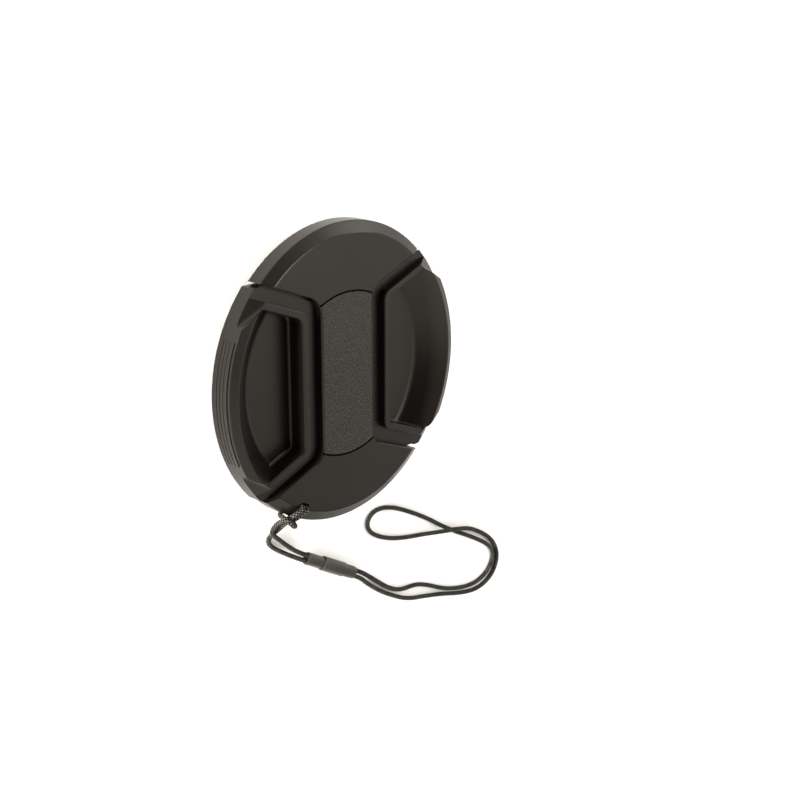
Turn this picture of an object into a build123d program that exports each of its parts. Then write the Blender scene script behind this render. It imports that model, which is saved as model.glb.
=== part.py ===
from build123d import *
import os
from math import cos, pi, radians, sin, sqrt, tan

# Centre-pinch lens cap, lying on its back with the front face up.
# Z = 0 is the surface it rests on, the optical axis is Z, and the latches slide along X.

# Rim and front of the body
rim_radius = 35.0
band_height = 4.3
bevel_width = 2.4
bevel_rise = 1.44
plate_thickness = 1.5
edge_round = 0.35

# Collar that enters the filter ring
rim_ledge = 2.6
collar_depth = 2.9
collar_wall = 2.1

# Latch slots in the front plate: straight inner edge, flared sides
slot_inner = 8.0
slot_side_step = 5.67
slot_flare = 21.5
slot_corner = 4.1

# Fine panel between the slots, bounded by two arcs of one groove
panel_radius = 19.2
groove_width = 0.4
groove_depth = 0.25

# Latches
travel = 2.5
slide_clearance = 0.1
side_clearance = 0.2
gap_depth = 2.0
shelf_thickness = 1.2
shelf_lap = 2.0
skirt_wall = 1.1
side_groove_width = 0.7
side_groove_depth = 0.8
wing_reach = 9.15
frame_gap = 4.25
frame_wall = 1.6
frame_round = 0.25
frame_corner = 2.45
frame_side_gap = 3.45
pocket_depth = 4.65
pocket_corner = 1.7
pocket_round = 0.7
ramp_round = 3.0
frame_edge = 0.3
ramp_width = 6.0
crest_inset = 2.15
crest_rise = 0.75
crest_fall = 0.65
crest_land = 0.35
crest_round = 0.35
latch_stand = 0.45
latch_rim_wall = 4.4
crest_half_angle = 36.5
end_bevel_inset = 3.15
scoop_outer_angle = 28.0
scoop_inner_angle = 35.0
scoop_round = 1.2

# Grip on the latch rim
grip_height = 0.2
grip_embed = 1.5
grip_half_angle = 23.0
grip_groove_width = 0.25
grip_groove_depth = 0.08
grip_groove_count = 3
grip_groove_pitch = 1.05

# Rear lips that snap into the filter thread
lip_stand = 0.75
lip_wall = 1.55
lip_clearance = 0.5
lip_half_angle = 34.0
tooth_height = 0.4
tooth_pitch = 0.75
tooth_count = 3

# Springs, their seats and runners
spring_wire = 0.4
spring_outer = 2.3
spring_turns = 7
spring_offset = 13.0
spring_wall = 1.8
seat_wall = 1.2
seat_width = 5.0
seat_inset = 2.1
pin_radius = 0.65
pin_length = 2.0
runner_width = 1.6
runner_length = 7.0
rib_wall = 1.0
rib_length = 12.0

# Back plate and the posts that hold it
back_thickness = 1.2
back_recess = 0.3
back_gap = 0.5
back_clearance = 0.2
running_clearance = 0.15
post_x = 6.5
post_inset = 2.52
boss_radius = 2.1
boss_gap = 0.5
post_radius = 1.2
stake_radius = 1.8
stake_height = 0.6
stake_clearance = 0.15
stop_wall = 1.4

# Cord hole and the groove behind the rim
hole_angle = -117.0
hole_inset = 3.0
hole_width = 3.0
hole_length = 1.8
hole_corner = 0.85
cord_groove_width = 5.2
cord_groove_depth = 1.6

# Cord and sleeve
cord_diameter = 1.2
strand_spacing = 1.36
sleeve_start = (-7.8, -45.7)
sleeve_end = (8.1, -55.0)
neck_width = 3.1
neck_height = 2.2
barrel_width = 3.6
barrel_height = 2.8
front_neck = 6.0
rear_neck = 4.2
neck_round = 0.35
sleeve_exit = 3.0
crossing_level = 2.1
bend_share = 0.45

# Radii
face_radius = rim_radius - bevel_width
collar_radius = rim_radius - rim_ledge
cavity_radius = collar_radius - collar_wall
latch_radius = rim_radius + latch_stand
crest_radius = latch_radius - crest_inset
ramp_foot_radius = crest_radius - ramp_width
end_bevel_radius = latch_radius - end_bevel_inset
lip_radius = collar_radius + lip_stand
back_radius = cavity_radius - back_clearance
hole_radius = rim_radius - hole_inset
wing_foot_radius = latch_radius - wing_reach
skirt_radius = wing_foot_radius - travel

# Levels
band_bottom = collar_depth
band_top = band_bottom + band_height
face_height = band_top + bevel_rise
plate_underside = face_height - plate_thickness
shelf_top = face_height - gap_depth
shelf_bottom = shelf_top - shelf_thickness
skirt_bottom = shelf_top + slide_clearance
pocket_floor = face_height - pocket_depth
back_top = back_recess + back_thickness
stop_top = shelf_bottom - running_clearance
spring_level = (back_top + running_clearance + shelf_bottom) / 2

# Places across the slide, from the posts inwards
post_y = sqrt((back_radius - post_inset) ** 2 - post_x**2)
shelf_half_width = post_y - boss_radius - boss_gap
slot_half_width = shelf_half_width - slot_side_step

# Places along the slide
groove_inner = slot_inner - slot_corner
frame_inner = slot_inner + frame_gap
shelf_inner = slot_inner - shelf_lap
seat_face = frame_inner - seat_inset
guide_half_width = shelf_half_width + side_clearance
bevel_slope = bevel_rise / (rim_radius - face_radius)
flare = tan(radians(slot_flare))
skirt_half_width = slot_half_width - skirt_wall * flare + skirt_wall / cos(radians(slot_flare))
groove_half_width = slot_half_width - slot_corner * flare - side_groove_width / cos(radians(slot_flare))
frame_half_width = slot_half_width + frame_gap * flare - frame_side_gap / cos(radians(slot_flare))
pocket_half_width = frame_half_width + frame_wall * flare - frame_wall / cos(radians(slot_flare))
crest_height = face_height + crest_rise
ramp_slope = (crest_height - pocket_floor) / (crest_radius - ramp_foot_radius)
beyond_rim = rim_radius * 1.3
runner_start = shelf_inner + travel
stop_start = runner_start + runner_length + slide_clearance
lip_end_x = (lip_radius - lip_wall) * cos(radians(lip_half_angle))
back_half_width = lip_end_x - travel - back_gap

os.makedirs("parts", exist_ok=True)


def flared_outline(inner, half_width, corner):
    """Trapezoid that opens towards the rim at +X, with two rounded inner corners."""
    outer_half_width = half_width + (beyond_rim - inner) * flare
    with BuildSketch() as outline:
        with BuildLine():
            Polyline(
                (inner, -half_width),
                (beyond_rim, -outer_half_width),
                (beyond_rim, outer_half_width),
                (inner, half_width),
                close=True,
            )
        make_face()
        fillet(outline.vertices().group_by(Axis.X)[0], corner)
    return outline.sketch


def half_plane(start, half_width):
    """Rectangle from start to beyond the rim, 2 * half_width wide."""
    with BuildSketch() as strip:
        with Locations((start, 0)):
            Rectangle(beyond_rim - start, 2 * half_width, align=(Align.MIN, Align.CENTER))
    return strip.sketch


def arc_plane(angle):
    """Plane through the axis at an angle from +X, its local x pointing outwards and y upwards."""
    return Plane.XZ.rotated((0, 0, angle))


# Body: one moulding with rim, bevel, front plate, collar, guides and posts
with BuildPart() as cap_body:
    with BuildSketch(Plane.XZ) as shell_profile:
        with BuildLine():
            Polyline(
                (0, face_height),
                (face_radius, face_height),
                (rim_radius, band_top),
                (rim_radius, band_bottom),
                (collar_radius, band_bottom),
                (collar_radius, 0),
                (cavity_radius, 0),
                (cavity_radius, plate_underside),
                (0, plate_underside),
                close=True,
            )
        make_face()
        fillet(shell_profile.vertices().group_by(Axis.X)[-1], edge_round)
    revolve(axis=Axis.Z)

    with BuildSketch(Plane.XZ):
        with Locations((panel_radius, face_height)):
            Rectangle(groove_width, 2 * groove_depth)
    revolve(axis=Axis.Z, mode=Mode.SUBTRACT)

    with BuildSketch():
        add(flared_outline(slot_inner, slot_half_width, slot_corner))
        mirror(about=Plane.YZ)
    extrude(amount=face_height, mode=Mode.SUBTRACT)
    with BuildSketch(Plane.XY.offset(face_height - edge_round)):
        add(flared_outline(slot_inner, slot_half_width, slot_corner))
        mirror(about=Plane.YZ)
    extrude(amount=2 * edge_round, taper=-45, mode=Mode.SUBTRACT)

    with BuildSketch():
        add(half_plane(slot_inner, guide_half_width))
        mirror(about=Plane.YZ)
    extrude(amount=plate_underside, mode=Mode.SUBTRACT)

    with BuildSketch(Plane.XY.offset(plate_underside)):
        with GridLocations(2 * (shelf_inner + rib_length / 2), 2 * guide_half_width + rib_wall, 2, 2):
            Rectangle(rib_length, rib_wall)
    extrude(amount=shelf_bottom - plate_underside)

    # Skirts round the slots, down to the shelves of the latches
    with BuildSketch(Plane.XY.offset(plate_underside)):
        add(flared_outline(slot_inner - skirt_wall, skirt_half_width, slot_corner + skirt_wall))
        add(flared_outline(slot_inner, slot_half_width, slot_corner), mode=Mode.SUBTRACT)
        Circle(skirt_radius, mode=Mode.INTERSECT)
        mirror(about=Plane.YZ)
    extrude(amount=skirt_bottom - plate_underside)

    with BuildSketch(Plane.XY.offset(plate_underside)):
        with GridLocations(0, 2 * spring_offset, 1, 2):
            Rectangle(spring_wall, seat_width)
    extrude(amount=back_top - plate_underside)
    with BuildSketch(Plane.YZ):
        with Locations((spring_offset, spring_level), (-spring_offset, spring_level)):
            Circle(pin_radius)
    extrude(amount=spring_wall / 2 + pin_length, both=True)

    with BuildSketch(Plane.XY.offset(plate_underside)):
        with GridLocations(2 * post_x, 2 * post_y, 2, 2):
            Circle(boss_radius)
    extrude(amount=back_top - plate_underside)
    with BuildSketch(Plane.XY.offset(back_top)):
        with GridLocations(2 * post_x, 2 * post_y, 2, 2):
            Circle(post_radius)
    extrude(amount=back_recess - back_top)
    with BuildSketch(Plane.XY.offset(back_recess)):
        with GridLocations(2 * post_x, 2 * post_y, 2, 2):
            Circle(stake_radius)
    extrude(amount=stake_height)

    with BuildSketch(Plane.XY.offset(band_bottom)):
        with Locations(Location((0, 0, 0), (0, 0, hole_angle))):
            with Locations((hole_radius, 0)):
                RectangleRounded(hole_length, hole_width, hole_corner)
    extrude(amount=face_height, mode=Mode.SUBTRACT)
    with BuildSketch(Plane.XY.offset(band_bottom)):
        with Locations(Location((0, 0, 0), (0, 0, hole_angle))):
            with Locations((hole_radius - hole_length / 2, 0)):
                Rectangle(beyond_rim - hole_radius, cord_groove_width, align=(Align.MIN, Align.CENTER))
    extrude(amount=cord_groove_depth, mode=Mode.SUBTRACT)
cap_body.part.label = "cap_body"
export_step(cap_body.part, "parts/cap_body.step")

# Block that the finger pocket is cut from, with a rounded edge along the gap
with BuildPart() as finger_frame:
    with BuildSketch(Plane.XY.offset(band_bottom)):
        add(flared_outline(frame_inner, frame_half_width, frame_corner))
    extrude(amount=face_height - band_bottom)
    frame_top = finger_frame.edges().group_by(Axis.Z)[-1]
    fillet(frame_top.sort_by(Axis.X)[:-1], frame_round)
    with BuildSketch():
        Circle(latch_radius)
    extrude(amount=face_height, mode=Mode.INTERSECT)

# Finger pocket of a latch: flat floor, upright walls and a conical ramp towards the rim
with BuildPart() as finger_pocket:
    with BuildSketch(Plane.XY.offset(pocket_floor)):
        add(flared_outline(frame_inner + frame_wall, pocket_half_width, pocket_corner))
    extrude(amount=2 * pocket_depth)
    with BuildSketch(Plane.XY.offset(face_height - frame_edge)):
        add(flared_outline(frame_inner + frame_wall, pocket_half_width, pocket_corner))
    extrude(amount=2 * frame_edge, taper=-45)
    with BuildSketch(Plane.XZ) as ramp_profile:
        with BuildLine():
            Polyline(
                (0, pocket_floor),
                (ramp_foot_radius, pocket_floor),
                (ramp_foot_radius + 2 * pocket_depth / ramp_slope, pocket_floor + 2 * pocket_depth),
                (0, pocket_floor + 2 * pocket_depth),
                close=True,
            )
        make_face()
        fillet(ramp_profile.vertices().group_by(Axis.Y)[0].sort_by(Axis.X)[-1], ramp_round)
    revolve(axis=Axis.Z, mode=Mode.INTERSECT)
    floor_edges = finger_pocket.edges().group_by(Axis.Z)[0]
    fillet(floor_edges.filter_by(GeomType.LINE).sort_by(Axis.X)[0], pocket_round)

# Bevel that runs on from the body over both ends of a latch, with a scooped end beside the crest
with BuildPart() as end_bevel:
    with BuildSketch(Plane.XZ):
        with BuildLine():
            Polyline(
                (end_bevel_radius, face_height),
                (beyond_rim, face_height - (beyond_rim - end_bevel_radius) * bevel_slope),
                (beyond_rim, 2 * face_height),
                (end_bevel_radius, 2 * face_height),
                close=True,
            )
        make_face()
    revolve(axis=Axis.Z, revolution_arc=90)
    scoop_outer = Vector(latch_radius, 0).rotate(Axis.Z, scoop_outer_angle)
    scoop_inner = Vector(crest_radius, 0).rotate(Axis.Z, scoop_inner_angle)
    scoop_normal = (scoop_inner - scoop_outer).cross(Vector(0, 0, 1))
    scoop_plane = Plane(origin=scoop_outer, x_dir=(0, 0, 1), z_dir=scoop_normal)
    split(bisect_by=scoop_plane, keep=Keep.TOP)
    scoop_face = end_bevel.faces().sort_by_distance((scoop_outer + scoop_inner) / 2 + (0, 0, face_height))[0]
    fillet(scoop_face.edges().sort_by(Axis.Z)[0], scoop_round)
    mirror(about=Plane.XZ)

# Right latch
with BuildPart() as right_latch:
    with BuildSketch(arc_plane(-90)):
        with BuildLine():
            Polyline(
                (latch_radius - latch_rim_wall, band_bottom),
                (latch_radius, band_bottom),
                (latch_radius, shelf_top),
                (wing_foot_radius, shelf_top),
                (wing_foot_radius, shelf_bottom),
                (latch_radius - latch_rim_wall, shelf_bottom),
                close=True,
            )
        make_face()
    revolve(axis=Axis.Z, revolution_arc=180)
    with BuildSketch():
        add(half_plane(0, shelf_half_width))
    extrude(amount=face_height, mode=Mode.INTERSECT)
    with BuildSketch(Plane.XY.offset(shelf_bottom)):
        Circle(latch_radius)
        add(half_plane(shelf_inner, shelf_half_width), mode=Mode.INTERSECT)
    extrude(amount=shelf_thickness)
    with BuildSketch(Plane.XY.offset(shelf_top - side_groove_depth)):
        add(flared_outline(slot_inner, slot_half_width, slot_corner))
        add(flared_outline(groove_inner, groove_half_width, slot_corner), mode=Mode.SUBTRACT)
    extrude(amount=side_groove_depth, mode=Mode.SUBTRACT)
    add(finger_frame.part)

    # Crest of the rim, higher than the front plate and falling towards its outer edge
    with BuildSketch(arc_plane(-crest_half_angle)) as crest_profile:
        with BuildLine():
            Polyline(
                (end_bevel_radius, band_top),
                (latch_radius, band_top),
                (latch_radius, crest_height - crest_fall),
                (crest_radius + crest_land, crest_height),
                (end_bevel_radius, crest_height),
                close=True,
            )
        make_face()
        fillet(crest_profile.vertices().group_by(Axis.X)[-1].sort_by(Axis.Y)[-1], crest_round)
    revolve(axis=Axis.Z, revolution_arc=2 * crest_half_angle)
    add(finger_pocket.part, mode=Mode.SUBTRACT)

    with BuildSketch(arc_plane(-grip_half_angle)):
        with Locations((latch_radius - grip_embed, (band_bottom + face_height) / 2)):
            Rectangle(grip_embed + grip_height, band_height, align=(Align.MIN, Align.CENTER))
        with Locations((latch_radius + grip_height, (band_bottom + face_height) / 2)):
            with GridLocations(0, grip_groove_pitch, 1, grip_groove_count):
                Rectangle(2 * grip_groove_depth, grip_groove_width, mode=Mode.SUBTRACT)
    revolve(axis=Axis.Z, revolution_arc=2 * grip_half_angle)
    add(end_bevel.part, mode=Mode.SUBTRACT)

    with BuildSketch(arc_plane(-lip_half_angle)):
        with Locations((lip_radius, lip_clearance)):
            Rectangle(lip_wall, band_bottom - lip_clearance, align=(Align.MAX, Align.MIN))
        for tooth in range(tooth_count):
            tooth_bottom = lip_clearance + tooth * tooth_pitch
            with BuildLine():
                Polyline(
                    (lip_radius, tooth_bottom),
                    (lip_radius + tooth_height, tooth_bottom + tooth_pitch / 2),
                    (lip_radius, tooth_bottom + tooth_pitch),
                    close=True,
                )
            make_face()
    revolve(axis=Axis.Z, revolution_arc=2 * lip_half_angle)

    with BuildSketch(Plane.XY.offset(shelf_bottom)):
        with Locations((seat_face, spring_offset), (seat_face, -spring_offset)):
            Rectangle(seat_wall, seat_width, align=(Align.MIN, Align.CENTER))
        with GridLocations(0, 2 * shelf_half_width - runner_width, 1, 2):
            with Locations((runner_start, 0)):
                Rectangle(runner_length, runner_width, align=(Align.MIN, Align.CENTER))
    extrude(amount=back_top + running_clearance - shelf_bottom)
    with BuildSketch(Plane.YZ.offset(seat_face)):
        with Locations((spring_offset, spring_level), (-spring_offset, spring_level)):
            Circle(pin_radius)
    extrude(amount=-pin_length)
right_latch.part.label = "right_latch"
export_step(right_latch.part, "parts/right_latch.step")

# Left latch: the same moulding handed
with BuildPart() as left_latch:
    mirror(right_latch.part, about=Plane.YZ)
left_latch.part.label = "left_latch"
export_step(left_latch.part, "parts/left_latch.step")

# Return springs, two behind each latch
spring_length = seat_face - spring_wall / 2
spring_radius = (spring_outer - spring_wire) / 2
spring_pitch = (spring_length - spring_wire) / spring_turns
for side, direction in (("right", 1), ("left", -1)):
    for place, height in (("upper", 1), ("lower", -1)):
        spring_foot = (direction * (spring_wall + spring_wire) / 2, height * spring_offset, spring_level)
        with BuildPart() as spring:
            with BuildLine() as coil:
                Helix(
                    spring_pitch,
                    spring_length - spring_wire,
                    spring_radius,
                    center=spring_foot,
                    direction=(direction, 0, 0),
                )
            with BuildSketch(Plane(coil.line @ 0, z_dir=coil.line % 0)):
                Circle(spring_wire / 2)
            sweep(path=coil.line, is_frenet=True)
        spring.part.label = f"{side}_spring_{place}"
        export_step(spring.part, f"parts/{side}_spring_{place}.step")

# Back plate: disc with two flats that clear the moving lips, staked at four posts.
# Its four upright stops meet the runners, so the springs can't push the latches out.
with BuildPart() as back_plate:
    with BuildSketch(Plane.XY.offset(back_recess)):
        Circle(back_radius)
        Rectangle(2 * back_half_width, 2 * rim_radius, mode=Mode.INTERSECT)
    extrude(amount=back_thickness)
    with Locations(Plane.XY.offset(back_recess).rotated((180, 0, 0))):
        with GridLocations(2 * post_x, 2 * post_y, 2, 2):
            CounterBoreHole(
                post_radius + stake_clearance,
                stake_radius + stake_clearance,
                stake_height,
                back_thickness,
            )
    with BuildSketch(Plane.XY.offset(back_top)):
        with GridLocations(2 * stop_start + stop_wall, 2 * shelf_half_width - runner_width, 2, 2):
            Rectangle(stop_wall, runner_width)
    extrude(amount=stop_top - back_top)
back_plate.part.label = "back_plate"
export_step(back_plate.part, "parts/back_plate.step")

# Sleeve that grips both cords: an oval barrel between two slimmer necks with rounded ends
sleeve_level = barrel_height / 2
sleeve_axis = (Vector(*sleeve_end) - Vector(*sleeve_start)).normalized()
sleeve_across = Vector(-sleeve_axis.Y, sleeve_axis.X)
sleeve_length = (Vector(*sleeve_end) - Vector(*sleeve_start)).length
sleeve_plane = Plane(origin=(*sleeve_start, sleeve_level), x_dir=sleeve_across, z_dir=sleeve_axis)
with BuildPart() as cord_sleeve:
    with BuildSketch(sleeve_plane):
        SlotOverall(neck_width, neck_height)
    extrude(amount=sleeve_length)
    neck_ends = cord_sleeve.edges().filter_by(sleeve_plane)
    fillet(neck_ends, neck_round)
    with BuildSketch(sleeve_plane.offset(front_neck)):
        SlotOverall(barrel_width, barrel_height)
    extrude(amount=sleeve_length - front_neck - rear_neck)
cord_sleeve.part.label = "cord_sleeve"
export_step(cord_sleeve.part, "parts/cord_sleeve.step")


def beside_sleeve(end, side, distance):
    """Point on a strand that leaves an end face of the sleeve squarely, at a distance along its axis."""
    place = Vector(*end) + sleeve_across * (side * strand_spacing / 2) + sleeve_axis * distance
    return (place.X, place.Y, sleeve_level)


def rim_point(radius, offset, height):
    """Point beside the cord hole: distance from the axis, offset along the rim, height."""
    angle = radians(hole_angle)
    return (
        radius * cos(angle) - offset * sin(angle),
        radius * sin(angle) + offset * cos(angle),
        height,
    )


def cord_tube(name, route):
    """Round cord along a route of straight runs joined by the largest arcs that fit."""
    points = [Vector(*point) for point in route]
    runs = [after - before for before, after in zip(points, points[1:])]
    radii = []
    for arriving, leaving in zip(runs, runs[1:]):
        half_turn = radians(arriving.get_angle(leaving) / 2)
        radii.append(bend_share * min(arriving.length, leaving.length) / tan(half_turn))
    with BuildPart() as cord:
        with BuildLine() as path:
            FilletPolyline(*points, radius=radii)
        with BuildSketch(Plane(path.line @ 0, z_dir=path.line % 0)):
            Circle(cord_diameter / 2)
        sweep(path=path.line)
    cord.part.label = name
    export_step(cord.part, f"parts/{name}.step")
    length = path.wires()[0].length
    section = pi * cord_diameter**2 / 4
    volume_share = cord.part.volume / section / length
    print(name, "length", round(length, 1), "volume share", round(volume_share, 4))


# Girth hitch beside the hole, as radius, offset along the rim and height: the strand to the sleeve's
# upper side, the bight that runs behind the rim and round both strands, and the other strand
strand_offset = strand_spacing / 2
hole_middle = hole_radius - 0.05
floor_level = cord_diameter / 2
upper_strand = [
    (rim_radius + 5.3, -2.1, 3.15),
    (rim_radius + 2.9, -2.75, 4.4),
    (rim_radius + 1.2, -2.75, 6.4),
    (rim_radius + 0.45, -2.75, band_top + 0.8),
    (rim_radius - 1.2, -2.2, face_height + 0.51),
    (hole_middle, -strand_offset, face_height + 1.06),
]
bight = [
    (hole_middle, -strand_offset, band_bottom + 0.6),
    (rim_radius - 0.8, -1.7, band_bottom + 0.6),
    (rim_radius + 0.6, -2.2, 4.2),
    (rim_radius + 0.55, -3.75, 6.2),
    (rim_radius + 0.9, -3.9, band_top + 1.4),
    (rim_radius + 1.8, -2.1, band_top + 1.9),
    (rim_radius + 1.8, -0.2, band_top + 0.9),
    (rim_radius + 1.1, 0.3, 5.9),
    (rim_radius + 0.4, 1.4, 3.8),
    (rim_radius - 1.0, 1.3, band_bottom + 0.6),
    (hole_middle, strand_offset, band_bottom + 0.6),
]
lower_strand = [
    (hole_middle, strand_offset, face_height + 1.06),
    (rim_radius - 1.1, -0.85, face_height + 0.56),
    (rim_radius + 0.6, -1.4, band_top + 0.8),
    (rim_radius + 1.3, -1.4, 6.3),
    (rim_radius + 4.0, -0.6, 3.5),
    (rim_radius + 5.9, 0.5, 0.9),
    (rim_radius + 7.5, 0.35, floor_level),
]
hitch = [rim_point(*place) for place in upper_strand + bight + lower_strand]
short_route = [
    beside_sleeve(sleeve_start, 1, 0),
    beside_sleeve(sleeve_start, 1, -sleeve_exit),
    (-13.5, -40.9, 1.9),
    (-17.5, -37.3, 2.7),
    *hitch,
    (-18.05, -39.69, floor_level),
    (-14.88, -42.08, 0.9),
    beside_sleeve(sleeve_start, -1, -sleeve_exit),
    beside_sleeve(sleeve_start, -1, 0),
]
cord_tube("short_cord_loop", short_route)

long_route = [
    beside_sleeve(sleeve_end, 1, 0),
    beside_sleeve(sleeve_end, 1, sleeve_exit),
    (14.2, -58.3, floor_level),
    (17.8, -61.3, floor_level),
    (21.8, -64.4, floor_level),
    (26.2, -66.4, floor_level),
    (31.6, -66.6, floor_level),
    (36.6, -68.6, floor_level),
    (42.8, -71.9, floor_level),
    (49.6, -74.1, floor_level),
    (56.4, -74.9, floor_level),
    (61.6, -72.8, floor_level),
    (63.8, -68.6, floor_level),
    (61.0, -64.6, floor_level),
    (52.4, -59.4, floor_level),
    (47.0, -56.5, floor_level),
    (40.6, -52.5, floor_level),
    (37.2, -50.1, floor_level),
    (30.1, -45.8, floor_level),
    (22.4, -41.9, floor_level),
    (16.6, -40.9, floor_level),
    (13.6, -43.2, floor_level),
    (14.3, -46.2, floor_level),
    (18.2, -48.9, floor_level),
    (23.6, -51.1, floor_level),
    (30.1, -52.6, floor_level),
    (33.8, -53.2, floor_level),
    (40.2, -54.0, crossing_level),
    (47.3, -55.3, crossing_level),
    (54.4, -58.0, floor_level),
    (62.6, -63.4, floor_level),
    (65.7, -69.4, floor_level),
    (63.4, -74.7, floor_level),
    (57.4, -77.0, floor_level),
    (50.0, -75.8, floor_level),
    (42.6, -73.3, floor_level),
    (35.0, -71.3, floor_level),
    (28.4, -69.8, floor_level),
    (21.5, -66.0, floor_level),
    (17.0, -62.9, floor_level),
    (13.2, -59.7, floor_level),
    beside_sleeve(sleeve_end, -1, sleeve_exit),
    beside_sleeve(sleeve_end, -1, 0),
]
cord_tube("long_cord_loop", long_route)
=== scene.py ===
"""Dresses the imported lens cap: satin black mouldings, coil springs, braided lanyard and its sleeve."""

import logging
import math
from dataclasses import dataclass, field
from enum import Enum
from typing import Optional, Union

import bpy
from mathutils import Matrix, Vector

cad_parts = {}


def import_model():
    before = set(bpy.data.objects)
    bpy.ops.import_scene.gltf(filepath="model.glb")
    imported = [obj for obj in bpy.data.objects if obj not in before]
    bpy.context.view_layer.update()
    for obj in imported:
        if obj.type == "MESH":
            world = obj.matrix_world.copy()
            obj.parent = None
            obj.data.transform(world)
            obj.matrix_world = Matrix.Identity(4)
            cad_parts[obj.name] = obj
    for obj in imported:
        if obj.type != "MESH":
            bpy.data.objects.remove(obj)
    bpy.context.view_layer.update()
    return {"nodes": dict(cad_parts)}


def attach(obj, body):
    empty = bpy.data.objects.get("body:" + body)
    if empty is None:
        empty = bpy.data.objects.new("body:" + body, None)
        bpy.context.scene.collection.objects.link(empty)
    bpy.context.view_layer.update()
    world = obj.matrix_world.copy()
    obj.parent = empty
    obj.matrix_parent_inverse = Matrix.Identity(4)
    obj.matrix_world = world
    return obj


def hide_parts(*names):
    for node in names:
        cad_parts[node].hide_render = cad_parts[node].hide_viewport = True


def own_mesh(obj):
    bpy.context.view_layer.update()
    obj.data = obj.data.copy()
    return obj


Point = tuple[float, float, float]
Spot = tuple[float, float]
Oval = tuple[float, float]
Ring = tuple[float, Oval, float]
Colour = tuple[float, float, float]
Socket = bpy.types.NodeSocket
Input = Union[float, tuple[float, ...], Socket]
Paint = Union[Colour, Socket]

MM = 0.001
NOISE_MIDDLE = 0.5
# Colour sockets of Blender's Mix node, which share their names with its number sockets.
MIX_FIRST, MIX_SECOND, MIX_RESULT = 6, 7, 2
WARM_WHITE: Colour = (1.0, 0.965, 0.91)
# Body of the frame that the lanyard and the springs ride on.
CAP = "cap"
LOG = logging.getLogger("lens_cap")


class Side(Enum):
    """Which latch a spring belongs to, as the sign of its X."""

    RIGHT = 1
    LEFT = -1

    @property
    def joint(self) -> str:
        """Name of the slide that works this side's latch."""
        return f"{self.name.lower()}_latch_slide"


class Place(Enum):
    """Which of a latch's two springs, as the sign of its Y."""

    UPPER = 1
    LOWER = -1


class Slot(Enum):
    """Material slots of the record, which no new piece takes its finish from."""

    SPRING = "spring_steel"
    SLEEVE = "sleeve_plastic"
    CORD = "braided_cord"


class Graph:
    """Adds nodes to one node tree and joins them."""

    def __init__(self, tree: bpy.types.NodeTree) -> None:
        """Keeps the tree and empties it.

        Args:
            tree: The node tree to fill.
        """
        self.tree = tree
        tree.nodes.clear()

    def add(self, kind: str, **settings: object) -> bpy.types.Node:
        """Adds a node.

        Args:
            kind: Blender's name of the node type.
            settings: Attributes of the node.

        Returns:
            The new node.
        """
        node = self.tree.nodes.new(kind)
        for name, value in settings.items():
            setattr(node, name, value)
        return node

    def feed(self, socket: Socket, value: Input) -> None:
        """Links a socket to another, or sets its own value.

        Args:
            socket: The input socket.
            value: An output socket, a number or a colour.
        """
        if isinstance(value, Socket):
            self.tree.links.new(value, socket)
        else:
            socket.default_value = value

    def sum(self, operation: str, first: Input, second: Input = 0.0) -> Socket:
        """Adds a Math node.

        Args:
            operation: Blender's name of the sum, such as MULTIPLY.
            first: First number or socket.
            second: Second number or socket.

        Returns:
            The result's socket.
        """
        node = self.add("ShaderNodeMath", operation=operation)
        self.feed(node.inputs[0], first)
        self.feed(node.inputs[1], second)
        return node.outputs[0]

    def step(self, value: Input, low: float, high: float, to_low: float, to_high: float) -> Socket:
        """Maps a range onto another with a smooth rise and fixed ends.

        Args:
            value: The number to map.
            low: Where the rise begins.
            high: Where the rise ends.
            to_low: Result at low.
            to_high: Result at high.

        Returns:
            The result's socket.
        """
        node = self.add("ShaderNodeMapRange", interpolation_type="SMOOTHSTEP")
        for socket, number in zip(node.inputs, (value, low, high, to_low, to_high)):
            self.feed(socket, number)
        return node.outputs[0]

    def noise(self, vector: Socket, scale: Input, octaves: float) -> Socket:
        """Adds a Noise Texture.

        Args:
            vector: Coordinates.
            scale: Features per metre.
            octaves: Number of finer layers.

        Returns:
            The noise's value, about NOISE_MIDDLE on average.
        """
        node = self.add("ShaderNodeTexNoise")
        self.feed(node.inputs["Vector"], vector)
        self.feed(node.inputs["Scale"], scale)
        self.feed(node.inputs["Detail"], octaves)
        return node.outputs["Fac"]

    def blend(self, share: Input, first: Paint, second: Paint) -> Socket:
        """Mixes two colours.

        Args:
            share: 0 for the first colour, 1 for the second.
            first: First colour, or the socket of one.
            second: Second colour, or the socket of one.

        Returns:
            The mixed colour's socket.
        """
        node = self.add("ShaderNodeMix", data_type="RGBA")
        self.feed(node.inputs[0], share)
        for index, paint in ((MIX_FIRST, first), (MIX_SECOND, second)):
            self.feed(node.inputs[index], paint if isinstance(paint, Socket) else (*paint, 1))
        return node.outputs[MIX_RESULT]


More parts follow.
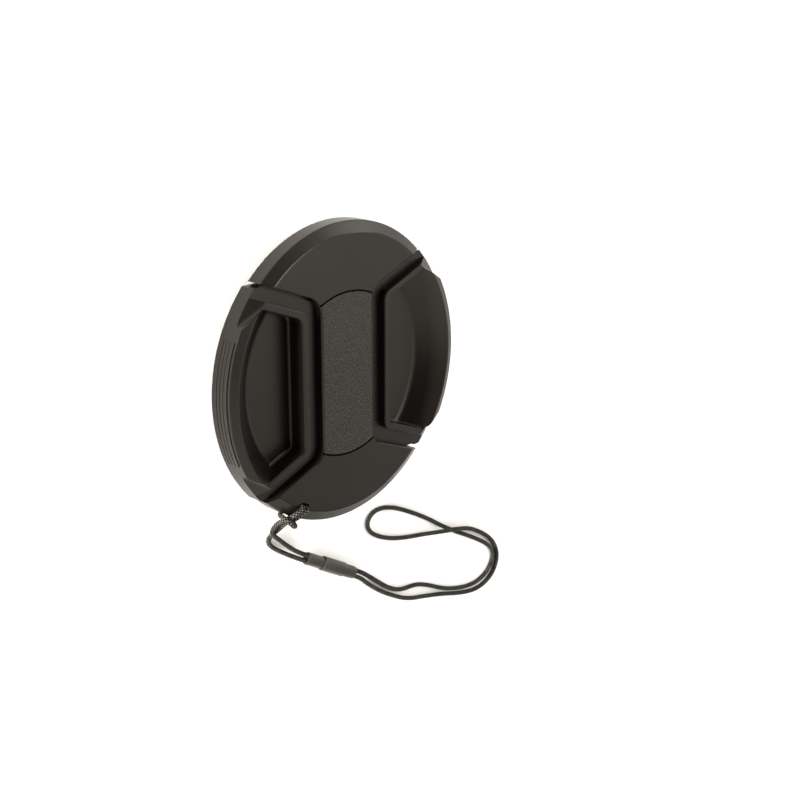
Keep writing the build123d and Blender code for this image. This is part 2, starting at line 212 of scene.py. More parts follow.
class Surface(Graph):
    """Graph of one material, begun with its shader and the place of each point."""

    def __init__(self, name: str) -> None:
        """Makes the material.

        Args:
            name: The material's name.
        """
        self.material = bpy.data.materials.new(name)
        self.material.use_nodes = True
        super().__init__(self.material.node_tree)
        self.place = self.add("ShaderNodeTexCoord").outputs["Object"]
        self.shader = self.add("ShaderNodeBsdfPrincipled")
        output = self.add("ShaderNodeOutputMaterial")
        self.feed(output.inputs["Surface"], self.shader.outputs[0])

    def give(self, label: str, value: Input) -> None:
        """Links or sets one input of the shader."""
        self.feed(self.shader.inputs[label], value)

    def emboss(self, height: Socket) -> None:
        """Tilts the shader's normal by the height of the surface.

        Args:
            height: The height, in metres.
        """
        bump = self.add("ShaderNodeBump")
        self.feed(bump.inputs["Distance"], 1.0)
        self.feed(bump.inputs["Height"], height)
        self.give("Normal", bump.outputs[0])

    def from_axis(self) -> Socket:
        """Adds the nodes that measure how far a point lies from the cap's axis.

        Returns:
            The distance, in metres.
        """
        level = self.add("ShaderNodeVectorMath", operation="MULTIPLY")
        self.feed(level.inputs[0], self.place)
        self.feed(level.inputs[1], (1, 1, 0))
        distance = self.add("ShaderNodeVectorMath", operation="LENGTH")
        self.feed(distance.inputs[0], level.outputs[0])
        return distance.outputs["Value"]


@dataclass(frozen=True)
class MouldGrain:
    """Shader group: the fine spark-eroded grain and uneven gloss of a moulded surface."""

    name: str = "mould_grain"
    grain_octaves: float = 2.0
    gloss_octaves: float = 3.0

    def tree(self) -> bpy.types.NodeTree:
        """Makes the group on its first use.

        Returns:
            The node group.
        """
        found = bpy.data.node_groups.get(self.name)
        if found is not None:
            return found
        group = bpy.data.node_groups.new(self.name, "ShaderNodeTree")
        graph = Graph(group)
        for label in ("Vector", "Grain per Metre", "Gloss per Metre", "Roughness", "Roughness Swing"):
            kind = "NodeSocketVector" if label == "Vector" else "NodeSocketFloat"
            group.interface.new_socket(label, in_out="INPUT", socket_type=kind)
        for label in ("Height", "Roughness", "Patch"):
            group.interface.new_socket(label, in_out="OUTPUT", socket_type="NodeSocketFloat")
        given = graph.add("NodeGroupInput").outputs
        result = graph.add("NodeGroupOutput").inputs
        grain = graph.noise(given["Vector"], given["Grain per Metre"], self.grain_octaves)
        patch = graph.noise(given["Vector"], given["Gloss per Metre"], self.gloss_octaves)
        uneven = graph.sum("SUBTRACT", patch, NOISE_MIDDLE)
        swing = graph.sum("MULTIPLY", uneven, given["Roughness Swing"])
        graph.feed(result["Height"], grain)
        graph.feed(result["Roughness"], graph.sum("ADD", given["Roughness"], swing))
        graph.feed(result["Patch"], patch)
        return group

    def put(
        self, surface: Surface, grain: float, gloss: float, roughness: float, swing: float
    ) -> bpy.types.bpy_prop_collection:
        """Places the group in a material.

        Args:
            surface: The material's graph.
            grain: Grains per metre.
            gloss: Patches of uneven gloss per metre.
            roughness: Average roughness.
            swing: How far the roughness moves about that.

        Returns:
            The group's outputs: Height, Roughness and Patch.
        """
        node = surface.add("ShaderNodeGroup", node_tree=self.tree())
        surface.feed(node.inputs["Vector"], surface.place)
        surface.feed(node.inputs["Grain per Metre"], grain)
        surface.feed(node.inputs["Gloss per Metre"], gloss)
        surface.feed(node.inputs["Roughness"], roughness)
        surface.feed(node.inputs["Roughness Swing"], swing)
        return node.outputs


@dataclass(frozen=True)
class FinePanel:
    """The grained centre panel of the face, between the slots and inside one groove, whose darkness is
    painted shade.
    """

    radius: float = 19.2 * MM
    lowest: float = 8.59 * MM
    grain_per_metre: float = 3300.0
    octaves: float = 1.0
    depth: float = 0.16 * MM
    edge: float = 0.04 * MM
    pale: Colour = (0.010, 0.0097, 0.0086)
    fleck_begins: float = 0.42
    fleck_full: float = 0.66
    groove_half: float = 0.25 * MM
    groove_floor: float = 8.3 * MM
    # Painted shade: near-black colour of the groove.
    groove_painted_shade: Colour = (0.0006, 0.0006, 0.0006)

    def masks(self, surface: Surface) -> tuple[Socket, Socket]:
        """Adds the nodes that pick the panel and its groove out by their place.

        Args:
            surface: The material's graph.

        Returns:
            Two masks, 1 on the panel and 1 in the groove.
        """
        parts = surface.add("ShaderNodeSeparateXYZ")
        surface.feed(parts.inputs[0], surface.place)
        up = parts.outputs["Z"]
        distance = surface.from_axis()
        inside = surface.step(distance, self.radius - self.edge, self.radius, 1.0, 0.0)
        high = surface.step(up, self.lowest, self.lowest + self.edge, 0.0, 1.0)
        from_line = surface.sum("ABSOLUTE", surface.sum("SUBTRACT", distance, self.radius))
        on_line = surface.step(from_line, self.groove_half - self.edge, self.groove_half, 1.0, 0.0)
        at_face = surface.sum("GREATER_THAN", up, self.groove_floor)
        return surface.sum("MULTIPLY", inside, high), surface.sum("MULTIPLY", on_line, at_face)

    def lay(self, surface: Surface, colour: Socket, height: Socket) -> tuple[Socket, Socket]:
        """Adds the panel's grain, its pale flecks and the groove's painted shade to the finish around it.

        Args:
            surface: The material's graph.
            colour: Colour around the panel.
            height: Height of the surface around the panel.

        Returns:
            The colour and the height with the panel in them.
        """
        on_panel, painted_groove_shade_mask = self.masks(surface)
        speckle = surface.noise(surface.place, self.grain_per_metre, self.octaves)
        raised = surface.sum("MULTIPLY", surface.sum("MULTIPLY", speckle, self.depth), on_panel)
        fleck = surface.step(speckle, self.fleck_begins, self.fleck_full, 0.0, 1.0)
        colour = surface.blend(surface.sum("MULTIPLY", fleck, on_panel), colour, self.pale)
        # Painted shade in the groove: near-black colour, made fully metallic so that it reflects almost
        # nothing.
        colour = surface.blend(painted_groove_shade_mask, colour, self.groove_painted_shade)
        surface.give("Metallic", painted_groove_shade_mask)
        return colour, surface.sum("ADD", height, raised)


@dataclass(frozen=True)
class RubbedEdge:
    """The narrow turned-down edge of the face beside the bevel, rubbed smoother than the rest."""

    radius: float = 32.6 * MM
    width: float = 0.3 * MM
    slope: float = 0.27
    smoothness: float = 0.4

    def shape(self, surface: Surface, around: Input) -> tuple[Socket, Socket]:
        """Adds the nodes that turn the edge down and smooth it.

        Args:
            surface: The material's graph.
            around: Roughness of the surface around the edge.

        Returns:
            The height of the surface and its roughness.
        """
        past = surface.sum("SUBTRACT", surface.from_axis(), self.radius - self.width)
        over = surface.sum("MINIMUM", surface.sum("MAXIMUM", past, 0.0), self.width)
        begun = surface.sum("GREATER_THAN", past, 0.0)
        on_edge = surface.sum("MULTIPLY", begun, surface.sum("LESS_THAN", past, self.width))
        factor = surface.step(on_edge, 0.0, 1.0, 1.0, self.smoothness)
        return surface.sum("MULTIPLY", over, -self.slope), surface.sum("MULTIPLY", around, factor)


@dataclass(frozen=True)
class PlasticFinish:
    """Satin moulded plastic with a fine grain, uneven gloss and, on the body, the grained panel."""

    name: str
    dark: Colour
    pale: Colour
    roughness: float
    roughness_swing: float
    grain_per_metre: float
    grain_depth: float
    gloss_per_metre: float = 90.0
    specular: float = 0.25
    gloss_tint: Colour = (1.0, 0.92, 0.81)
    edge: Optional[RubbedEdge] = None
    panel: Optional[FinePanel] = None

    def make(self) -> bpy.types.Material:
        """Builds the material.

        Returns:
            The material.
        """
        surface = Surface(self.name)
        surface.give("Specular IOR Level", self.specular)
        surface.give("Specular Tint", (*self.gloss_tint, 1))
        grain = MouldGrain().put(
            surface, self.grain_per_metre, self.gloss_per_metre, self.roughness, self.roughness_swing
        )
        colour = surface.blend(grain["Patch"], self.dark, self.pale)
        height = surface.sum("MULTIPLY", grain["Height"], self.grain_depth)
        roughness = grain["Roughness"]
        if self.panel is not None:
            colour, height = self.panel.lay(surface, colour, height)
        if self.edge is not None:
            turned_down, roughness = self.edge.shape(surface, roughness)
            height = surface.sum("ADD", height, turned_down)
        surface.give("Base Color", colour)
        surface.give("Roughness", roughness)
        surface.emboss(height)
        return surface.material


@dataclass(frozen=True)
class SteelFinish:
    """Drawn spring wire with fine streaks."""

    name: str = "drawn_spring_wire"
    bright: Colour = (0.56, 0.56, 0.57)
    dull: Colour = (0.36, 0.36, 0.37)
    roughness: float = 0.32
    roughness_swing: float = 0.2
    streaks_per_metre: float = 5200.0
    patches_per_metre: float = 1300.0

    def make(self) -> bpy.types.Material:
        """Builds the material.

        Returns:
            The material.
        """
        surface = Surface(self.name)
        surface.give("Metallic", 1.0)
        grain = MouldGrain().put(
            surface, self.streaks_per_metre, self.patches_per_metre, self.roughness, self.roughness_swing
        )
        surface.give("Base Color", surface.blend(grain["Patch"], self.dull, self.bright))
        surface.give("Roughness", grain["Roughness"])
        return surface.material


@dataclass(frozen=True)
class BraidFinish:
    """Black filament yarn: painted shade between the yarns, a soft painted sheen and fine filaments on top of
    them.
    """

    name: str = "black_braid"
    # Painted shade: colour between the yarns, darker than the black yarn.
    valley_painted_shade: Colour = (0.002, 0.002, 0.002)
    # Painted sheen: colour of the yarns' crowns, far paler than the black yarn.
    crown: Colour = (0.085, 0.083, 0.075)
    painted_sheen_begins: float = 0.5
    dull_patch: float = 0.3
    fresh_patch: float = 0.7
    dull_share: float = 0.4
    specular: float = 0.1
    roughness: float = 0.55
    roughness_swing: float = 0.25
    fuzz_per_metre: float = 9000.0
    patches_per_metre: float = 600.0
    filaments: float = 5.0
    filament_depth: float = 0.012 * MM
    relief: str = "relief"
    across: str = "across"

    def make(self) -> bpy.types.Material:
        """Builds the material.

        Returns:
            The material.
        """
        surface = Surface(self.name)
        surface.give("Specular IOR Level", self.specular)
        grain = MouldGrain().put(
            surface, self.fuzz_per_metre, self.patches_per_metre, self.roughness, self.roughness_swing
        )
        relief = surface.add("ShaderNodeAttribute", attribute_name=self.relief).outputs["Fac"]
        across = surface.add("ShaderNodeAttribute", attribute_name=self.across).outputs["Fac"]
        fresh = surface.step(grain["Patch"], self.dull_patch, self.fresh_patch, self.dull_share, 1.0)
        # Painted sheen on the crowns and painted shade between them, set by the weave's relief.
        painted_sheen_on_crown = surface.step(relief, self.painted_sheen_begins, 1.0, 0.0, 1.0)
        share = surface.sum("MULTIPLY", painted_sheen_on_crown, fresh)
        surface.give("Base Color", surface.blend(share, self.valley_painted_shade, self.crown))
        surface.give("Roughness", grain["Roughness"])
        ridges = surface.sum("SINE", surface.sum("MULTIPLY", across, self.filaments * math.tau))
        rough_yarn = surface.sum("ADD", ridges, grain["Height"])
        surface.emboss(surface.sum("MULTIPLY", rough_yarn, self.filament_depth))
        return surface.material


def mesh_object(name: str, vertices: list[Vector], faces: list[tuple[int, ...]]) -> bpy.types.Object:
    """Makes a smooth mesh object in the row frame.

    Args:
        name: The piece's name.
        vertices: Corners, in metres.
        faces: Corner numbers of each face.

    Returns:
        The linked object.
    """
    mesh = bpy.data.meshes.new(name)
    mesh.from_pydata([tuple(vertex) for vertex in vertices], [], faces)
    mesh.polygons.foreach_set("use_smooth", [True] * len(mesh.polygons))
    mesh.update()
    piece = bpy.data.objects.new(name, mesh)
    bpy.context.scene.collection.objects.link(piece)
    return piece


def tube_faces(rings: int, around: int) -> list[tuple[int, ...]]:
    """Faces of a closed tube whose ring corners run in order.

    Args:
        rings: Number of rings.
        around: Corners of each ring.

    Returns:
        The side faces and the two end faces.
    """
    faces: list[tuple[int, ...]] = []
    for ring in range(rings - 1):
        for corner in range(around):
            after = (corner + 1) % around
            low, high = ring * around, (ring + 1) * around
            faces.append((low + corner, low + after, high + after, high + corner))
    faces.append(tuple(reversed(range(around))))
    faces.append(tuple(range((rings - 1) * around, rings * around)))
    return faces


def carried_frames(line: list[Vector]) -> list[tuple[Vector, Vector]]:
    """Two directions across a line at each of its points, carried along it without twist.

    Args:
        line: Points along the line.

    Returns:
        A pair of unit vectors for each point.
    """
    frames: list[tuple[Vector, Vector]] = []
    side: Optional[Vector] = None
    for index in range(len(line)):
        ahead = line[min(index + 1, len(line) - 1)] - line[max(index - 1, 0)]
        ahead.normalize()
        if side is None:
            side = ahead.orthogonal().normalized()
        side = (side - ahead * side.dot(ahead)).normalized()
        frames.append((side.copy(), ahead.cross(side)))
    return frames


@dataclass
class Braid:
    """Diamond weave of a tubular braid, as relief on a round cord."""

    diameter: float = 1.2 * MM
    relief: float = 0.11 * MM
    yarns_each_way: int = 4
    pick: float = 0.75 * MM
    around: int = 28

    def crown(self, angle: float, along: float) -> tuple[float, float]:
        """Height and position across the yarn that lies on top at a place on the cord.

        Args:
            angle: Angle round the cord.
            along: Distance along the cord.

        Returns:
            Height from 0 to 1, and position across the yarn from -0.5 to 0.5.
        """
        turn = angle * self.yarns_each_way / math.tau
        first, second = turn + along / self.pick, turn - along / self.pick
        first_part = first - math.floor(first) - 0.5
        second_part = second - math.floor(second) - 0.5
        first_on_top = (math.floor(first) + math.floor(second)) % 2 == 0
        across, length = (first_part, second_part) if first_on_top else (second_part, first_part)
        bulge = math.sqrt(max(0.0, 1.0 - (2.0 * across) ** 2))
        return bulge * math.sqrt(max(0.0, math.cos(math.pi * length))), across

    def skin(self, name: str, line: list[Vector]) -> bpy.types.Object:
        """Builds the woven tube along a line.

        Args:
            name: The piece's name.
            line: Points along the cord's middle.

        Returns:
            The tube, with its relief and yarn position kept as attributes.
        """
        vertices: list[Vector] = []
        heights: list[float] = []
        across: list[float] = []
        travelled = 0.0
        for index, (centre, (side, up)) in enumerate(zip(line, carried_frames(line))):
            if index:
                travelled += (centre - line[index - 1]).length
            for corner in range(self.around):
                angle = math.tau * corner / self.around
                height, position = self.crown(angle, travelled)
                radius = self.diameter / 2 - self.relief * (1.0 - height)
                vertices.append(centre + (side * math.cos(angle) + up * math.sin(angle)) * radius)
                heights.append(height)
                across.append(position)
        tube = mesh_object(name, vertices, tube_faces(len(line), self.around))
        for label, values in ((BraidFinish.relief, heights), (BraidFinish.across, across)):
            attribute = tube.data.attributes.new(label, "FLOAT", "POINT")
            attribute.data.foreach_set("value", values)
        return tube


@dataclass
class Cord:
    """One free cord on a smooth route."""

    name: str
    node: str
    route: list[Point]
    length: float
    resolution: int = 56
    braid: Braid = field(default_factory=Braid)

    def centreline(self) -> list[Vector]:
        """Reads the points of the route's own smooth spline.

        Returns:
            Points along the cord's middle, in metres.
        """
        curve = bpy.data.curves.new(f"{self.name}_route", "CURVE")
        curve.dimensions = "3D"
        curve.resolution_u = self.resolution
        spline = curve.splines.new("NURBS")
        spline.points.add(len(self.route) - 1)
        for control, point in zip(spline.points, self.route):
            control.co = (*(Vector(point) * MM), 1.0)
        spline.order_u = 3
        spline.use_endpoint_u = True
        holder = bpy.data.objects.new(curve.name, curve)
        bpy.context.scene.collection.objects.link(holder)
        bpy.context.view_layer.update()
        line_mesh = bpy.data.meshes.new_from_object(holder)
        line = [vertex.co.copy() for vertex in line_mesh.vertices]
        bpy.data.meshes.remove(line_mesh)
        bpy.data.objects.remove(holder)
        bpy.data.curves.remove(curve)
        return line

    def lay(self, finish: bpy.types.Material, pieces: list[bpy.types.Object]) -> bpy.types.Object:
        """Args:
            finish: The braid's material.
            pieces: Separate pieces on this cord; not used.

        Returns:
            The cord.
        """
        line = self.centreline()
        piece = self.braid.skin(self.name, line)
        piece.data.materials.append(finish)
        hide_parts(self.node)
        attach(piece, CAP)
        self.length
        LOG.info("%s: %d points along it", self.name, len(line))
        return piece


@dataclass
class Sleeve:
    """Moulded sleeve that grips both cords: an oval barrel between two slimmer necks, in millimetres."""

    start: Spot = (-7.8, -45.7)
    end: Spot = (8.1, -55.0)
    level: float = 1.4
    neck: Oval = (3.1, 2.2)
    barrel: Oval = (3.6, 2.8)
    front_neck: float = 6.0
    rear_neck: float = 4.2
    neck_round: float = 0.4
    barrel_round: float = 0.3
    shoulder_run: float = 0.05
    mouth_wall: float = 0.28
    mouth_depth: float = 0.6
    mouth_taper: float = 0.02
    mouth_taper_depth: float = 0.16
    strand_spacing: float = 1.36
    corners: int = 40
    round_steps: int = 5

    @property
    def axis(self) -> Vector:
        """Unit vector from the sleeve's start to its end."""
        return (Vector((*self.end, 0)) - Vector((*self.start, 0))).normalized()

    @property
    def across(self) -> Vector:
        """Unit vector across the sleeve, level with the floor."""
        return Vector((-self.axis.y, self.axis.x, 0))

    @property
    def length(self) -> float:
        """Length from end to end, in millimetres."""
        return (Vector(self.end) - Vector(self.start)).length

    def beside(self, from_end: bool, side: int, distance: float) -> Point:
        """Point on a strand that leaves the sleeve squarely.

        Args:
            from_end: True at the sleeve's end, False at its start.
            side: 1 or -1, which strand.
            distance: How far along the sleeve's axis from that end, in millimetres.

        Returns:
            The point, in millimetres.
        """
        corner = self.end if from_end else self.start
        place = Vector((*corner, self.level)) + self.across * (side * self.strand_spacing / 2)
        return tuple(place + self.axis * distance)

    def ring(self, distance: float, size: Oval, inset: float) -> list[Vector]:
        """One oval ring of the sleeve's surface.

        Args:
            distance: Distance from the sleeve's start, in millimetres.
            size: Width and height of the oval.
            inset: How far the ring lies inside that oval.

        Returns:
            The ring's corners, in metres.
        """
        radius = size[1] / 2 - inset
        straight = (size[0] - size[1]) / 2
        centre = Vector((*self.start, self.level)) + self.axis * distance
        points: list[Vector] = []
        for corner in range(self.corners):
            angle = math.tau * (corner + 0.5) / self.corners
            shift = straight if math.cos(angle) > 0 else -straight
            place = centre + self.across * (shift + radius * math.cos(angle))
            place.z += radius * math.sin(angle)
            points.append(place * MM)
        return points

    def half_profile(self, neck_length: float) -> list[Ring]:
        """Rings of one end, out of its mouth, over the lip, along the neck and up the shoulder.

        Args:
            neck_length: Length of this end's neck.

        Returns:
            Distance from this end, oval and inset of each ring.
        """
        quarter = [math.pi / 2 * step / self.round_steps for step in range(self.round_steps + 1)]
        step_height = (self.barrel[1] - self.neck[1]) / 2
        bore = self.mouth_wall + self.mouth_taper
        rings = [(self.mouth_depth, self.neck, bore), (self.mouth_taper_depth, self.neck, bore)]
        for angle in reversed(quarter):
            lip = self.mouth_wall * (1 - math.cos(angle))
            rings.append((self.neck_round * (1 - math.sin(angle)), self.neck, lip))
        rings.append((neck_length - self.shoulder_run, self.neck, 0.0))
        for angle in quarter:
            shoulder = step_height * (1 - math.sin(angle))
            rings.append((neck_length + self.barrel_round * (1 - math.cos(angle)), self.barrel, shoulder))
        return rings

    def profile(self) -> list[Ring]:
        """Rings of the whole sleeve, from one mouth to the other.

        Returns:
            Distance from the start, oval and inset of each ring.
        """
        front = self.half_profile(self.front_neck)
        rear = [(self.length - distance, *rest) for distance, *rest in self.half_profile(self.rear_neck)]
        return front + rear[::-1]

    def build(self, finish: bpy.types.Material) -> bpy.types.Object:
        """Builds the sleeve and dresses it.

        Args:
            finish: The sleeve's material.

        Returns:
            The sleeve.
        """
        rings = self.profile()
        vertices = [point for ring in rings for point in self.ring(*ring)]
        piece = mesh_object("lanyard_sleeve", vertices, tube_faces(len(rings), self.corners))
        piece.data.materials.append(finish)
        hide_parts("cord_sleeve")
        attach(piece, CAP)
        LOG.info("lanyard_sleeve: %.1f mm long", self.length)
        return piece


@dataclass
class Lanyard:
    """Short loop hitched through the rim, sleeve and long loop, laid on the floor; route in millimetres."""

    sleeve: Sleeve = field(default_factory=Sleeve)
    short_length: float = 0.0878
    long_length: float = 0.25
    hole_angle: float = -117.0
    hole_radius: float = 31.95
    floor_level: float = 0.6
    crossing_level: float = 2.1
    entry: float = 0.5
    exit_run: float = 3.0
    braid: BraidFinish = BraidFinish()
    plastic: PlasticFinish = PlasticFinish(
        "sleeve_satin_grey",
        dark=(0.012, 0.0119, 0.0107),
        pale=(0.018, 0.0178, 0.0161),
        roughness=0.33,
        roughness_swing=0.12,
        grain_per_metre=5000.0,
        grain_depth=0.006 * MM,
        gloss_per_metre=400.0,
        specular=0.4,
    )

    def rim_point(self, radius: float, offset: float, height: float) -> Point:
        """Point beside the cord hole.

        Args:
            radius: Distance from the cap's axis, in millimetres.
            offset: Offset along the rim.
            height: Height above the floor.

        Returns:
            The point, in millimetres.
        """
        angle = math.radians(self.hole_angle)
        x = radius * math.cos(angle) - offset * math.sin(angle)
        y = radius * math.sin(angle) + offset * math.cos(angle)
        return (x, y, height)

    def floor(self, points: list[Spot]) -> list[Point]:
        """Lifts floor places to the height of a lying cord's middle."""
        return [(x, y, self.floor_level) for x, y in points]

    def short_route(self) -> list[Point]:
        """Control points of the short loop, from the sleeve round the rim and back.

        Returns:
            The points, in millimetres.
        """
        hole, half = self.hole_radius, self.sleeve.strand_spacing / 2
        upper_strand = [
            (40.3, -2.1, 3.15), (37.9, -2.75, 4.4), (36.2, -2.75, 6.4), (35.45, -2.75, 8.0),
            (33.8, -2.2, 9.15), (hole, -half, 9.7),
        ]
        bight = [
            (hole, -half, 3.4), (34.2, -1.7, 3.5), (35.6, -2.2, 4.2), (35.55, -3.75, 6.2),
            (35.9, -3.9, 8.6), (36.8, -2.1, 9.1), (36.8, -0.2, 8.1), (36.1, 0.3, 5.9),
            (35.4, 1.4, 3.8), (34.0, 1.3, 3.5), (hole, half, 3.4),
        ]
        lower_strand = [
            (hole, half, 9.7), (33.9, -0.85, 9.2), (35.6, -1.4, 8.0), (36.3, -1.4, 6.3),
            (39.0, -0.6, 3.5), (40.9, 0.5, 0.9), (42.5, 0.35, 0.65),
        ]
        hitch = [self.rim_point(*place) for place in upper_strand + bight + lower_strand]
        return [
            self.sleeve.beside(False, 1, self.entry),
            self.sleeve.beside(False, 1, -self.exit_run),
            (-13.5, -40.9, 1.9),
            (-17.5, -37.3, 2.7),
            *hitch,
            (-18.05, -39.69, 0.65),
            (-14.88, -42.08, 0.9),
            self.sleeve.beside(False, -1, -self.exit_run),
            self.sleeve.beside(False, -1, self.entry),
        ]

    def long_route(self) -> list[Point]:
        """Control points of the long loop, out from the sleeve, round and back over itself.

        Returns:
            The points, in millimetres.
        """
        outward = [
            (14.2, -58.3), (17.8, -61.3), (21.8, -64.4), (26.2, -66.4), (31.6, -66.6), (36.6, -68.6),
            (42.8, -71.9), (49.6, -74.1), (56.4, -74.9), (61.6, -72.8), (63.8, -68.6), (61.0, -64.6),
            (52.4, -59.4), (47.0, -56.5), (40.6, -52.5), (37.2, -50.1), (30.1, -45.8), (22.4, -41.9),
            (16.6, -40.9), (13.6, -43.2), (14.3, -46.2), (18.2, -48.9), (23.6, -51.1), (30.1, -52.6),
            (33.8, -53.2),
        ]
        crossing = [(40.2, -54.0, self.crossing_level), (47.3, -55.3, self.crossing_level)]
        homeward = [
            (54.4, -58.0), (62.6, -63.4), (65.7, -69.4), (63.4, -74.7), (57.4, -77.0), (50.0, -75.8),
            (42.6, -73.3), (35.0, -71.3), (28.4, -69.8), (21.5, -66.0), (17.0, -62.9), (13.2, -59.7),
        ]
        return [
            self.sleeve.beside(True, 1, -self.entry),
            self.sleeve.beside(True, 1, self.exit_run),
            *self.floor(outward),
            *crossing,
            *self.floor(homeward),
            self.sleeve.beside(True, -1, self.exit_run),
            self.sleeve.beside(True, -1, -self.entry),
        ]

    def build(self) -> None:
        """Builds the sleeve and both cords, and dresses them."""
        braid = self.braid.make()
        sleeve = self.sleeve.build(self.plastic.make())
        Cord("short_loop", "short_cord_loop", self.short_route(), self.short_length).lay(braid, [sleeve])
        Cord("long_loop", "long_cord_loop", self.long_route(), self.long_length).lay(braid, [])


@dataclass
class ReturnSpring:
    """Coil spring between the body's middle wall and a latch's seat."""

    side: Side
    place: Place
    wire: float = 0.4 * MM
    outer: float = 2.3 * MM
    turns: float = 7.0
    foot: float = 0.9 * MM
    seat: float = 10.15 * MM
    offset: float = 13.0 * MM
    level: float = 3.545 * MM
    travel: float = 2.5 * MM
    steps_per_turn: int = 28
    corners: int = 10

    def build(self, finish: bpy.types.Material) -> bpy.types.Object:
        """Builds the coil.

        Args:
            finish: The wire's material.

        Returns:
            The spring.
        """
        sign = self.side.value
        middle = Vector((0, self.place.value * self.offset, self.level))
        radius = (self.outer - self.wire) / 2
        rise = self.seat - self.foot - self.wire
        steps = round(self.turns * self.steps_per_turn)
        line: list[Vector] = []
        for step in range(steps + 1):
            angle = math.tau * self.turns * step / steps
            reach = self.foot + self.wire / 2 + rise * step / steps
            turned = Vector((sign * reach, radius * math.cos(angle), radius * math.sin(angle)))
            line.append(middle + turned)
        vertices: list[Vector] = []
        for centre, (side, up) in zip(line, carried_frames(line)):
            for corner in range(self.corners):
                angle = math.tau * corner / self.corners
                vertices.append(centre + (side * math.cos(angle) + up * math.sin(angle)) * self.wire / 2)
        node = f"{self.side.name.lower()}_spring_{self.place.name.lower()}"
        piece = mesh_object(f"{node}_coil", vertices, tube_faces(len(line), self.corners))
        piece.data.materials.append(finish)
        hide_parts(node)
        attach(piece, CAP)
        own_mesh(piece)
        return piece


@dataclass
class Mouldings:
    """The body, latches and back plate, which keep their CAD shape and get their finish."""

    body: PlasticFinish = PlasticFinish(
        "body_satin_black",
        dark=(0.0026, 0.0023, 0.0021),
        pale=(0.0040, 0.0036, 0.0032),
        roughness=0.30,
        roughness_swing=0.08,
        grain_per_metre=9000.0,
        grain_depth=0.003 * MM,
        edge=RubbedEdge(),
        panel=FinePanel(),
    )
    latch: PlasticFinish = PlasticFinish(
        "latch_satin_black",
        dark=(0.0024, 0.0021, 0.0019),
        pale=(0.0037, 0.0033, 0.0030),
        roughness=0.31,
        roughness_swing=0.08,
        grain_per_metre=9000.0,
        grain_depth=0.003 * MM,
    )
    back: PlasticFinish = PlasticFinish(
        "back_fine_matte",
        dark=(0.0050, 0.0048, 0.0045),
        pale=(0.0075, 0.0072, 0.0068),
        roughness=0.55,
        roughness_swing=0.12,
        grain_per_metre=4200.0,
        grain_depth=0.012 * MM,
    )

    def dress(self, nodes: dict[str, bpy.types.Object]) -> None:
        """Gives each moulding its material.

        Args:
            nodes: The frame's CAD nodes.
        """
        latch = self.latch.make()
        finishes = {
            "cap_body": self.body.make(),
            "left_latch": latch,
            "right_latch": latch,
            "back_plate": self.back.make(),
        }
        for name, finish in finishes.items():
            mesh = nodes[name].data
            mesh.materials.clear()
            mesh.materials.append(finish)
            LOG.info("%s: %s", name, finish.name)


@dataclass(frozen=True)
class Softbox:
    """Rectangular area light that looks at a point."""

    name: str
    place: Point
    aim: Point
    size: tuple[float, float]
    watts: float
    spread: float = 180.0
    mirrored: bool = True
    colour: Colour = WARM_WHITE

    def hang(self) -> None:
        """Adds the light, unseen by the camera and, unless mirrored, by gloss."""
        light = bpy.data.lights.new(self.name, "AREA")
        light.shape = "RECTANGLE"
        light.size, light.size_y = self.size
        light.spread = math.radians(self.spread)
        light.energy = self.watts
        light.color = self.colour
        lamp = bpy.data.objects.new(self.name, light)
        lamp.location = self.place
        direction = Vector(self.aim) - Vector(self.place)
        lamp.rotation_mode = "QUATERNION"
        lamp.rotation_quaternion = direction.to_track_quat("-Z", "Y")
        lamp.visible_camera = False
        lamp.visible_glossy = self.mirrored
        bpy.context.scene.collection.objects.link(lamp)


@dataclass(frozen=True)
class DimSide:
    """A dimmer side of the bright room, which fades in by the cosine of the angle to its middle."""

    middle: Point
    begins: float
    full: float
    share: float


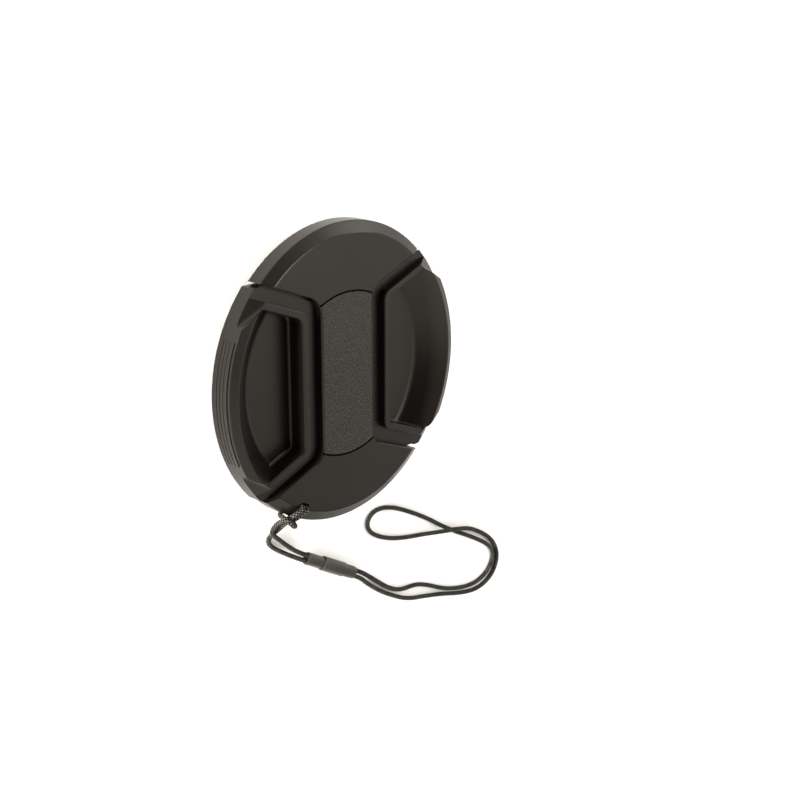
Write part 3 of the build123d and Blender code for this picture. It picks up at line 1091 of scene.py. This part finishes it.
@dataclass
class Studio:
    """Camera at the photograph's angle, white floor and soft light."""

    eye: Point = (-219.243 * MM, 97.497 * MM, 230.541 * MM)
    aim: Point = (26.34 * MM, -14.73 * MM, 0.0)
    camera_up: Point = (0.230247, 0.948726, -0.216577)
    lens: float = 64.444
    sensor: float = 36.0
    nearest: float = 0.01
    farthest: float = 20.0
    floor_half: float = 3.0
    floor_white: Colour = (0.9, 0.9, 0.9)
    floor_bright: Colour = (0.92, 0.92, 0.92)
    floor_patches_per_metre: float = 40.0
    floor_octaves: float = 2.0
    floor_roughness: float = 0.9
    floor_specular: float = 0.1
    sky_colour: Colour = WARM_WHITE
    sky_strength: float = 1.65
    dim_sides: tuple[DimSide, ...] = (
        DimSide((-0.35, 0.35, 0.87), begins=0.58, full=0.95, share=0.10),
        DimSide((0.60, -0.65, 0.47), begins=0.86, full=1.0, share=0.3),
    )
    softboxes: tuple[Softbox, ...] = (
        Softbox("right_softbox", (0.44, 0.26, 0.32), (0.0, 0.0, 0.0), (0.30, 0.30), 0.92),
        Softbox("edge_light", (0.20, 0.03, 0.44), (0.0, 0.0, 0.0), (0.15, 0.15), 0.60),
        Softbox(
            "left_floor_light", (-0.30, 0.03, 0.028), (-0.04, 0.0, 0.0), (0.28, 0.05), 1.5,
            spread=70.0, mirrored=False,
        ),
    )

    def camera(self) -> None:
        """Adds the camera."""
        data = bpy.data.cameras.new("photo_view")
        data.lens = self.lens
        data.sensor_width = self.sensor
        data.clip_start = self.nearest
        data.clip_end = self.farthest
        camera = bpy.data.objects.new("photo_view", data)
        back = (Vector(self.eye) - Vector(self.aim)).normalized()
        right = Vector(self.camera_up).cross(back).normalized()
        up = back.cross(right)
        turn = Matrix((right, up, back)).transposed().to_4x4()
        camera.matrix_world = Matrix.Translation(self.eye) @ turn
        bpy.context.scene.collection.objects.link(camera)
        bpy.context.scene.camera = camera

    def floor(self) -> None:
        """Adds the white floor."""
        half = self.floor_half
        corners = [Vector((x, y, 0)) for x, y in ((-half, -half), (half, -half), (half, half), (-half, half))]
        floor = mesh_object("white_floor", corners, [(0, 1, 2, 3)])
        paper = Surface("white_paper")
        paper.give("Roughness", self.floor_roughness)
        paper.give("Specular IOR Level", self.floor_specular)
        patch = paper.noise(paper.place, self.floor_patches_per_metre, self.floor_octaves)
        paper.give("Base Color", paper.blend(patch, self.floor_white, self.floor_bright))
        floor.data.materials.append(paper.material)

    def sky(self) -> None:
        """Adds the bright surroundings with their dimmer sides."""
        world = bpy.data.worlds.new("bright_room")
        bpy.context.scene.world = world
        world.use_nodes = True
        graph = Graph(world.node_tree)
        ray = graph.add("ShaderNodeTexCoord").outputs["Generated"]
        strength: Input = self.sky_strength
        for dim in self.dim_sides:
            toward = graph.add("ShaderNodeVectorMath", operation="DOT_PRODUCT")
            graph.feed(toward.inputs[0], ray)
            graph.feed(toward.inputs[1], tuple(Vector(dim.middle).normalized()))
            share = graph.step(toward.outputs["Value"], dim.begins, dim.full, 1.0, dim.share)
            strength = graph.sum("MULTIPLY", strength, share)
        background = graph.add("ShaderNodeBackground")
        graph.feed(background.inputs["Color"], (*self.sky_colour, 1))
        graph.feed(background.inputs["Strength"], strength)
        output = graph.add("ShaderNodeOutputWorld")
        graph.feed(output.inputs["Surface"], background.outputs[0])

    def set_up(self) -> None:
        """Builds the whole studio."""
        self.camera()
        self.floor()
        self.sky()
        for softbox in self.softboxes:
            softbox.hang()
        bpy.context.scene.view_settings.view_transform = "Standard"
        bpy.context.scene.view_settings.look = "None"
        LOG.info("studio: camera at %s", self.eye)


def main() -> None:
    """Loads the frame and dresses it, piece by piece."""
    logging.basicConfig(level=logging.INFO, format="%(name)s: %(message)s")
    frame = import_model()
    Studio().set_up()
    Lanyard().build()
    wire = SteelFinish().make()
    for side in Side:
        for place in Place:
            ReturnSpring(side, place).build(wire)
    Mouldings().dress(frame["nodes"])


if __name__ == "__main__":
    main()
